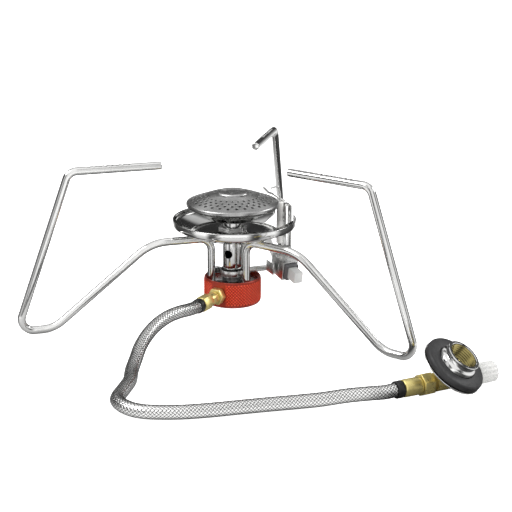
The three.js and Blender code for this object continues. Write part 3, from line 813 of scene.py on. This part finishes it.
def hub_shape():
    """The knurled cup with its flat face, on the hub's axis."""
    columns = 2 * round(FULL_TURN * HUB_R * MM / sizes().knurl)
    rows = 2 * round((KNURL_HIGH - KNURL_LOW) * MM / sizes().knurl)
    bm = knurled_band(columns, rows, sizes().knurl_depth)
    close_rim(bm, False, HUB_LIP)
    close_rim(bm, True, HUB_FOOT)
    split_big_faces(bm)
    normal = Vector((math.cos(math.radians(INLET_AZ)), math.sin(math.radians(INLET_AZ)), 0))
    bmesh.ops.bisect_plane(
        bm, geom=bm.verts[:] + bm.edges[:] + bm.faces[:], dist=1e-7,
        plane_co=normal * HUB_FLAT * MM, plane_no=normal, clear_outer=True,
    )
    bmesh.ops.holes_fill(bm, edges=[e for e in bm.edges if e.is_boundary], sides=0)
    split_big_faces(bm)
    bmesh.ops.recalc_face_normals(bm, faces=bm.faces)
    return moved(bm, Matrix.Translation(HUB))


def leg_bores():
    """Three upright cylinders where the legs stand in the hub's floor."""
    bm = bmesh.new()
    low, high = (LEG_CORNERS[0][2] - BORE_GAP) * MM, (HUB_FLOOR + BORE_OVER) * MM
    for side in LEG_NAMES:
        place = leg_place(side) @ Matrix.Translation((0, 0, (low + high) / 2))
        add_rod(bm, (LEG_R + BORE_GAP) * MM, high - low, 40, place)
    return bm


def air_hole():
    """A level cylinder through the side of the mixing tube."""
    bm = bmesh.new()
    out = Matrix.Translation((AIR_HOLE_OUT * MM, 0, AIR_HOLE_Z * MM))
    place = about_hub(AIR_HOLE_AZ) @ out @ Matrix.Rotation(math.pi / 2, 4, "Y")
    add_rod(bm, AIR_HOLE_R * MM, AIR_HOLE_DEEP * MM, 48, place)
    return bm


class STOVE_OT_hub(bpy.types.Operator):
    """Build the knurled hub and the mixing tube"""

    bl_idname = "stove.hub"
    bl_label = "Hub and mixing tube"

    def execute(self, context):
        hub = piece(
            hub_shape(), "hub_knurled", "stove", "red anodised", "red_anodised_aluminium", "hub_body",
            sharp=HUB_SHARP,
        )
        cut_away(hub, leg_bores(), sharp=HUB_SHARP)
        refined("hub_plate", "brushed sheet", "stainless_sheet")
        refined("neck_nut", "dark steel", "dark_steel", bevel=0.2)
        tube = piece(
            moved(spun(TUBE_PROFILE, 72), Matrix.Translation(HUB)), "mixing_tube_detail", "stove",
            "polished dish", "stainless_sheet", "mixing_tube",
        )
        cut_away(tube, air_hole())
        refined("tray_nut", "brushed sheet", "stainless_sheet", bevel=0.2)
        return {"FINISHED"}


# ---- tray and burner ----
TRAY_OUTSIDE = [
    (6.2, 43.7), (21.4, 43.7), (22.2, 43.85), (29.3, 47.0), (30.1, 47.45), (30.6, 48.1), (30.75, 49.6),
    (30.8, 51.1),
]
TRAY_SHIFT, TRAY_SHIFT_AZ = 0.9, 15.4  # the tray sits a little off the burner's axis
TRAY_SHEET, TRAY_EDGE, CAP_EDGE = 0.6, 0.14, 0.08
NOTCH = (27.4, 61.4)  # azimuths of the tray's cut-away part
NOTCH_FROM = 22.2
CUP_PROFILE = [
    (5.2, 51.4), (12.3, 51.4), (12.7, 51.55), (13.5, 52.5), (20.0, 56.55), (20.7, 56.85), (22.0, 57.0),
    (22.2, 57.2), (22.0, 57.4), (20.1, 57.4), (12.7, 53.1), (11.9, 52.2), (5.2, 52.2),
]
PORT_COLUMNS, PORT_ROWS = 60, 4
BAND_OUT, BAND_IN = 20.6, 12.8
PORT_INSET, PORT_TAPER = 0.36, 0.08  # the inner rows' ports are smaller, row by row
CAP_TOP_FROM = 59.8
CAP_SLOTS = [(8.5, 9.4, 10, (2, 3)), (3.0, 4.4, 20, (4, 5, 6, 7))]  # inner and outer radius, pitch, columns cut


def tray_shape():
    """The dished tray's outer face, with its notch."""
    bm = spun(TRAY_OUTSIDE, 180, closed=False)
    width = NOTCH[1] - NOTCH[0]
    cut = []
    for face in bm.faces:
        middle = face.calc_center_median()
        angle = math.degrees(math.atan2(middle.y, middle.x)) % 360
        if angle < width and middle.xy.length > NOTCH_FROM * MM:
            cut.append(face)
    bmesh.ops.delete(bm, geom=cut, context="FACES")
    away = math.radians(TRAY_SHIFT_AZ)
    shift = Vector((math.cos(away), math.sin(away), 0)) * TRAY_SHIFT * MM
    turn = Matrix.Rotation(math.radians(NOTCH[0]), 4, "Z")
    return moved(bm, Matrix.Translation(HUB + shift) @ turn)


def outward(bm):
    """Turn an open surface so that its face furthest from the hub's axis looks away from it."""
    test = max(bm.faces, key=lambda f: (f.calc_center_median() - HUB).xy.length)
    if test.normal.dot((test.calc_center_median() - HUB) * Vector((1, 1, 0))) < 0:
        bmesh.ops.reverse_faces(bm, faces=bm.faces)
    return bm


def walled(made, thickness, bevel):
    """Give an open surface a wall inward and soft edges."""
    wall = made.modifiers.new("wall", "SOLIDIFY")
    wall.thickness = thickness
    wall.offset = -1
    soft = made.modifiers.new("soft", "BEVEL")
    soft.width = bevel
    soft.segments = 2
    soft.limit_method = "ANGLE"
    soft.angle_limit = math.radians(50)


def port_profile():
    """The cap's outer face from its rim to the axis, with even rows for the flame ports."""
    rim = [
        (21.9, 57.7), (22.7, 57.8), (23.1, 58.1), (23.1, 59.1), (22.8, 59.6), (22.2, 59.85), (21.3, 60.2),
    ]
    low, high = Vector((BAND_OUT, 60.5)), Vector((BAND_IN, 63.35))
    band = [low.lerp(high, k / PORT_ROWS) for k in range(PORT_ROWS + 1)]
    crown = [
        (11.8, 63.6), (10.4, 64.0), (9.4, 64.2), (8.5, 64.3), (8.2, 64.35), (7.9, 64.8), (7.4, 65.0), (6.9, 64.9),
        (6.3, 64.5),
    ]
    middle = [(4.5, 64.4), (2.9, 64.5), (1.4, 64.6), (0, 64.6)]
    return rim + [tuple(p) for p in band] + crown + middle


def ring_faces(bm, low, high):
    """Each face whose middle lies between two distances from the axis, with its column number."""
    found = []
    for face in bm.faces:
        middle = face.calc_center_median()
        if low * MM < middle.xy.length < high * MM and middle.z > CAP_TOP_FROM * MM:
            column = int(math.degrees(math.atan2(middle.y, middle.x)) % 360 / 360 * PORT_COLUMNS)
            found.append((face, column))
    return found


def cap_shape():
    """The domed cap's outer face, with its rows of ports, slots and centre holes."""
    bm = spun(port_profile(), PORT_COLUMNS, closed=False)
    step = (BAND_OUT - BAND_IN) / PORT_ROWS
    centres, holes = [], []
    for row in range(PORT_ROWS):
        outer = BAND_OUT - step * row
        faces = [f for f, column in ring_faces(bm, outer - step, outer) if (column + row) % 2 == 0]
        bmesh.ops.inset_individual(bm, faces=faces, thickness=PORT_INSET * MM, use_even_offset=True)
        radius = sizes().port_size / 2 * (1 - PORT_TAPER * row)
        centres += [(f.calc_center_median(), radius) for f in faces]
        holes += faces
    bmesh.ops.delete(bm, geom=holes, context="FACES_ONLY")
    round_ports(bm, centres)
    gone = []
    for low, high, pitch, columns in CAP_SLOTS:
        gone += [f for f, column in ring_faces(bm, low, high) if column % pitch in columns]
    bmesh.ops.delete(bm, geom=gone, context="FACES")
    return moved(bm, Matrix.Translation(HUB))


def round_ports(bm, centres):
    """Give each square opening more corners and pull them onto a circle."""
    inside = (BAND_OUT + 0.5) * MM
    rims = [e for e in bm.edges if e.is_boundary and all(v.co.xy.length < inside for v in e.verts)]
    bmesh.ops.subdivide_edges(bm, edges=rims, cuts=1)
    for vert in bm.verts:
        if not vert.is_boundary or vert.co.xy.length > inside:
            continue
        centre, radius = min(centres, key=lambda c: (c[0] - vert.co).length_squared)
        vert.co = centre + (vert.co - centre).normalized() * radius


class STOVE_OT_burner(bpy.types.Operator):
    """Build the tray, the burner cup and the cap"""

    bl_idname = "stove.burner"
    bl_label = "Tray and burner"

    def execute(self, context):
        tray = outward(tray_shape())
        tray = piece(tray, "tray_pressed", "stove", "polished dish", "polished_stainless", "tray")
        # The inner shell takes the darker steel, painted shade on the tray's inside.
        tray.data.materials.append(finish_named("mirror with painted shade"))
        walled(tray, TRAY_SHEET * MM, TRAY_EDGE * MM)
        tray.modifiers["wall"].material_offset = 1
        cup = moved(spun(CUP_PROFILE, 120), Matrix.Translation(HUB))
        piece(cup, "burner_cup_pressed", "stove", "polished dish", "polished_stainless", "burner_cup")
        cap = outward(cap_shape())
        cap = piece(cap, "burner_cap_stamped", "stove", "stamped cap", "stainless_sheet", "burner_cap")
        walled(cap, sizes().sheet, CAP_EDGE * MM)
        return {"FINISHED"}


# ---- hose end on the hub ----
class STOVE_OT_inlet(bpy.types.Operator):
    """Build the brass fitting between the hub and the hose"""

    bl_idname = "stove.inlet"
    bl_label = "Hub fitting"

    def execute(self, context):
        for cad in ("inlet_nut", "inlet_body", "hub_ferrule"):
            refined(cad, "turned brass", "brass", bevel=0.18)
        refined("hub_sleeve", "black sleeve", "black_rubber", bevel=0.25)
        return {"FINISHED"}


# ---- igniter ----
SPARK_OUT = 25.6  # the electrode's upright, from the hub's axis
WIRES = {  # radius, corners, bends, finish and slot
    "electrode": (
        0.5, [(SPARK_OUT, 0, 36.6), (SPARK_OUT, 0, 61.5), (24.4, 0, 65.4), (20.6, 0, 64.6)], [2, 1],
        "polished wire", "dark_steel",
    ),
    "ground_wire": (
        0.55, [(29, 1.2, 56.9), (26.4, 2.6, 58.2), (22.8, 2.6, 60.8), (19.8, 1.4, 62.2), (16.4, 0.2, 65.6)],
        [0.8, 0.8, 1.4], "polished wire", "dark_steel",
    ),
    "spark_lead": (
        0.8, [(23.6, -1.42, 27.6), (23.8, 0.3, 27.8), (SPARK_OUT, 0.1, 31.5), (SPARK_OUT, 0, 35.3)], [1, 1.2],
        "black sleeve", "black_rubber",
    ),
}
WIRE_SIDES, WIRE_STEP, WIRE_END = 20, 1, 0.12
CERAMIC_PROFILE = [
    (0.8, 35.6), (1.45, 35.6), (1.75, 35.9), (1.75, 47.4), (1.62, 47.6), (1.75, 47.8), (1.75, 56.8), (1.4, 57.2),
    (0.8, 57.2),
]


class STOVE_OT_igniter(bpy.types.Operator):
    """Build the spark igniter, its bracket and its button"""

    bl_idname = "stove.igniter"
    bl_label = "Igniter"

    def execute(self, context):
        place = about_hub(IGNITER_AZ)
        for cad, (radius, corners, bends, finish, slot) in WIRES.items():
            path = even_path(bent(corners, bends, 10), WIRE_STEP * MM)
            bm = moved(swept(path, radius * MM, WIRE_SIDES, WIRE_END), place)
            piece(bm, cad + "_bent", "stove", finish, slot, cad)
        ceramic = moved(spun(CERAMIC_PROFILE, 48), place @ Matrix.Translation((SPARK_OUT * MM, 0, 0)))
        piece(ceramic, "ceramic_glazed", "stove", "white ceramic", "white_ceramic", "ceramic_insulator")
        for cad in ("igniter_strap", "igniter_bracket", "piezo_holder"):
            refined(cad, "brushed sheet", "stainless_sheet", bevel=0.12)
        refined("clamp_screw", "dark steel", "dark_steel")
        refined("piezo_body", "grey plastic", "grey_plastic", bevel=0.12, merge=False)
        refined("piezo_button", "pale plastic", "pale_plastic", "button", bevel=0.3, merge=False)
        return {"FINISHED"}


# ---- valve ----
PAD_PROFILE = [
    (9.1, 10.1), (13.6, 10.1), (14.3, 10.5), (14.6, 11.0), (14.5, 12.2), (14.1, 12.9), (13.6, 13.2), (9.1, 13.2),
]
COLLAR_PROFILE = [
    (6.6, 10.1), (8.8, 10.1), (8.8, 14.5), (8.5, 14.9), (7.6, 15.5), (7.5, 15.8), (7.5, 16.8), (7.9, 17.2),
    (8.0, 17.5), (8.0, 18.1), (7.8, 18.3), (6.8, 18.3), (6.6, 18.1),
]
THREAD_LOW, THREAD_HIGH, THREAD_PITCH = 10.1, 18, 1.1
THREAD_BACK, THREAD_ROOT, THREAD_CREST = 6.3, 6.1, 5.62  # radii


def thread_profile():
    """A ring whose inside carries the canister thread's ridges."""
    points = [(THREAD_BACK, THREAD_LOW), (THREAD_BACK, THREAD_HIGH)]
    height = THREAD_HIGH
    while height > THREAD_LOW + THREAD_PITCH:
        points += [(THREAD_ROOT, height), (THREAD_CREST, height - THREAD_PITCH / 2)]
        height -= THREAD_PITCH
    return points + [(THREAD_ROOT, height), (THREAD_ROOT, THREAD_LOW)]


class STOVE_OT_valve(bpy.types.Operator):
    """Build the canister valve, its pad and its knob"""

    bl_idname = "stove.valve"
    bl_label = "Canister valve"

    def execute(self, context):
        place = valve_seat_place()
        refined("valve_plate", "polished dish", "polished_stainless", bevel=0.2)
        for name, profile, finish, slot, steps in (
            ("valve_pad", PAD_PROFILE, "charcoal rubber", "black_rubber", 120),
            ("valve_collar", COLLAR_PROFILE, "polished dish", "polished_stainless", 96),
            # The thread insert takes the darker brass, painted shade inside the valve.
            ("thread_insert", thread_profile(), "shaded brass", "brass", 72),
        ):
            piece(moved(spun(profile, steps), place), name + "_detail", "stove", finish, slot, name)
        for cad in ("valve_body", "valve_nut", "valve_ferrule", "gland_nut"):
            refined(cad, "turned brass", "brass", bevel=0.2)
        refined("valve_sleeve", "black sleeve", "black_rubber", bevel=0.25)
        refined("control_knob", "milky plastic", "clear_plastic", "knob", bevel=0.22)
        declare_hose()
        return {"FINISHED"}


# ---- pieces kept from the frame ----
KEPT = {
    "jet": "turned brass", "flame_gauze": "dark steel", "button_spring": "dark steel",
    "canister_seal": "black sleeve", "opening_pin": "turned brass", "needle": "dark steel",
    "spindle": "turned brass",
}


class STOVE_OT_kept(bpy.types.Operator):
    """Finish the small inner pieces kept from the frame"""

    bl_idname = "stove.kept"
    bl_label = "Inner pieces"

    def execute(self, context):
        for cad, finish in KEPT.items():
            for slot in frame["nodes"][cad].material_slots:
                slot.material = finish_named(finish)
        return {"FINISHED"}


# ---- stage ----
FLOOR_HALF = 4  # metres
FLOOR_DROP = 0.05
LIGHTS = [  # place from the hub and size in metres, and power in watts
    ("key light", (-0.5, -0.35, 0.75), 0.5, 4.5), ("rim light", (0.7, 0.4, 0.5), 0.35, 2.0),
]
# What polished metal mirrors, as (position, grey): round the floor, from straight down to up, round the sides.
GLOSSY_BANDS = [
    (0.0, 0.04), (0.07, 0.1), (0.1, 0.75), (0.15, 0.85), (0.175, 0.08), (0.2, 0.1), (0.23, 0.9), (0.35, 1.0),
    (0.38, 0.12), (0.41, 0.06), (0.44, 0.8), (0.5, 0.9), (0.54, 0.1), (0.66, 0.04), (0.73, 0.75), (0.86, 0.8),
    (0.92, 0.05),
]
SKY_STOPS = [
    (0.0, 0.3), (0.55, 0.3), (0.6, 0.05), (0.75, 0.06), (0.79, 0.9), (0.84, 1.2), (0.87, 0.2), (0.91, 0.2),
    (0.95, 1.1),
]
SIDE_STOPS = [
    (0.0, 0.03), (0.1, 0.06), (0.13, 0.8), (0.17, 0.8), (0.19, 0.06), (0.22, 0.1), (0.25, 1.1), (0.37, 1.1),
    (0.4, 0.08), (0.43, 0.08), (0.46, 0.9), (0.52, 0.9), (0.56, 0.05), (0.7, 0.04), (0.79, 0.05), (0.85, 0.04),
]


class STOVE_OT_stage(bpy.types.Operator):
    """Set the pale floor, the light and the surroundings"""

    bl_idname = "stove.stage"
    bl_label = "Stage"

    def execute(self, context):
        bm = bmesh.new()
        bmesh.ops.create_grid(bm, x_segments=2, y_segments=2, size=FLOOR_HALF)
        floor = added("floor", mesh_of(bm, "floor"))
        floor.location = (HUB.x, HUB.y, -FLOOR_DROP * MM)
        floor.data.materials.append(floor_finish())
        for name, place, size, power in LIGHTS:
            light = bpy.data.lights.new(name, "AREA")
            light.size = size
            light.energy = power
            facing_hub(added(name, light), Vector(place))
        surroundings(context.scene)
        context.scene.view_settings.view_transform = "Standard"
        return {"FINISHED"}


def grey_ramp(tree, stops):
    """A colour ramp node with grey stops."""
    made = node(tree, "ShaderNodeValToRGB")
    ramp = made.color_ramp
    while len(ramp.elements) < len(stops):
        ramp.elements.new(0.5)
    for element, (place, _) in zip(ramp.elements, stops):
        element.position = place
    for element, (_, grey) in zip(ramp.elements, stops):
        element.color = (grey, grey, grey, 1)
    return made


def round_bands(tree, place, output, stops):
    """A ramp of grey stops that runs once round Z."""
    turn = node(tree, "ShaderNodeTexGradient", gradient_type="RADIAL")
    bands = grey_ramp(tree, stops)
    join(tree, (place, output, turn, "Vector"), (turn, "Fac", bands, "Fac"))
    return bands


def mirrored_only(tree, plain, mirrored):
    """A light path, and a mix of a plain colour with a node's result that only glossy rays see."""
    path = node(tree, "ShaderNodeLightPath")
    pick = node(tree, "ShaderNodeMix", data_type="RGBA", A=(*plain, 1))
    join(tree, (path, "Is Glossy Ray", pick, "Factor"), (mirrored, "Result", pick, "B"))
    return path, pick


def floor_finish():
    """Plain and pale to the camera, with dark bands for polished metal, darkest near the stove from painted shade.
    """
    material, shader = finish_of("floor", colours().floor, 0.9, Specular_IOR_Level=0, Emission_Color=(1, 1, 1, 1))
    tree = material.node_tree
    place = node(tree, "ShaderNodeTexCoord")
    bands = round_bands(tree, place, "Object", GLOSSY_BANDS)
    away = node(tree, "ShaderNodeVectorMath", operation="LENGTH")
    # Painted shade: what polished metal mirrors of the floor darkens near the stove.
    nearness = node(tree, "ShaderNodeMapRange", From_Min=0.05, From_Max=0.2, To_Min=0.55, To_Max=1.0)
    shade = node(tree, "ShaderNodeMix", data_type="RGBA", blend_type="MULTIPLY", Factor=1)
    path, pick = mirrored_only(tree, colours().floor, shade)
    join(
        tree,
        (place, "Object", away, 0), (away, "Value", nearness, "Value"), (bands, "Color", shade, "A"),
        (nearness, "Result", shade, "B"), (pick, "Result", shader, "Base Color"),
        (path, "Is Camera Ray", shader, "Emission Strength"),
    )
    return material


def surroundings(scene):
    """Plain white light, with dark and bright bands that only polished metal picks up."""
    world = bpy.data.worlds.new("tent")
    scene.world = world
    world.use_nodes = True
    tree = world.node_tree
    back = tree.nodes["Background"]
    place = node(tree, "ShaderNodeTexCoord")
    apart = node(tree, "ShaderNodeSeparateXYZ")
    height = node(tree, "ShaderNodeMapRange", From_Min=-1.0, From_Max=1.0)
    sky = grey_ramp(tree, SKY_STOPS)
    sides = round_bands(tree, place, "Generated", SIDE_STOPS)
    brighter = node(tree, "ShaderNodeMix", data_type="RGBA", blend_type="LIGHTEN", Factor=1)
    _, pick = mirrored_only(tree, (1.0, 1.0, 1.0), brighter)
    join(
        tree,
        (place, "Generated", apart, 0), (apart, "Z", height, "Value"), (height, "Result", sky, "Fac"),
        (sky, "Color", brighter, "A"), (sides, "Color", brighter, "B"), (pick, "Result", back, "Color"),
    )


# ---- panel ----
OPERATORS = (
    STOVE_OT_camera, STOVE_OT_hose, STOVE_OT_legs, STOVE_OT_hub, STOVE_OT_burner, STOVE_OT_inlet,
    STOVE_OT_igniter, STOVE_OT_valve, STOVE_OT_kept, STOVE_OT_stage,
)


class STOVE_PT_panel(bpy.types.Panel):
    """Settings and building steps of the stove"""

    bl_idname = "STOVE_PT_panel"
    bl_label = "Canister Stove"
    bl_space_type = "VIEW_3D"
    bl_region_type = "UI"
    bl_category = "Stove"

    def draw(self, context):
        for group in (context.scene.stove_sizes, context.scene.stove_colours):
            for name in group.__annotations__:
                self.layout.prop(group, name)
        for operator in OPERATORS:
            self.layout.operator(operator.bl_idname)


CLASSES = (StoveSizes, StoveColours, *OPERATORS, STOVE_PT_panel)


def register():
    """Add the settings, steps and panel to Blender."""
    for cls in CLASSES:
        bpy.utils.register_class(cls)
    bpy.types.Scene.stove_sizes = PointerProperty(type=StoveSizes)
    bpy.types.Scene.stove_colours = PointerProperty(type=StoveColours)


def unregister():
    """Take them out again, in the opposite order."""
    del bpy.types.Scene.stove_colours
    del bpy.types.Scene.stove_sizes
    for cls in reversed(CLASSES):
        bpy.utils.unregister_class(cls)


def main():
    """Build the stove and its stage."""
    register()
    for operator in OPERATORS:
        family, name = operator.bl_idname.split(".")
        getattr(getattr(bpy.ops, family), name)()
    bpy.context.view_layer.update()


if __name__ == "__main__":
    main()
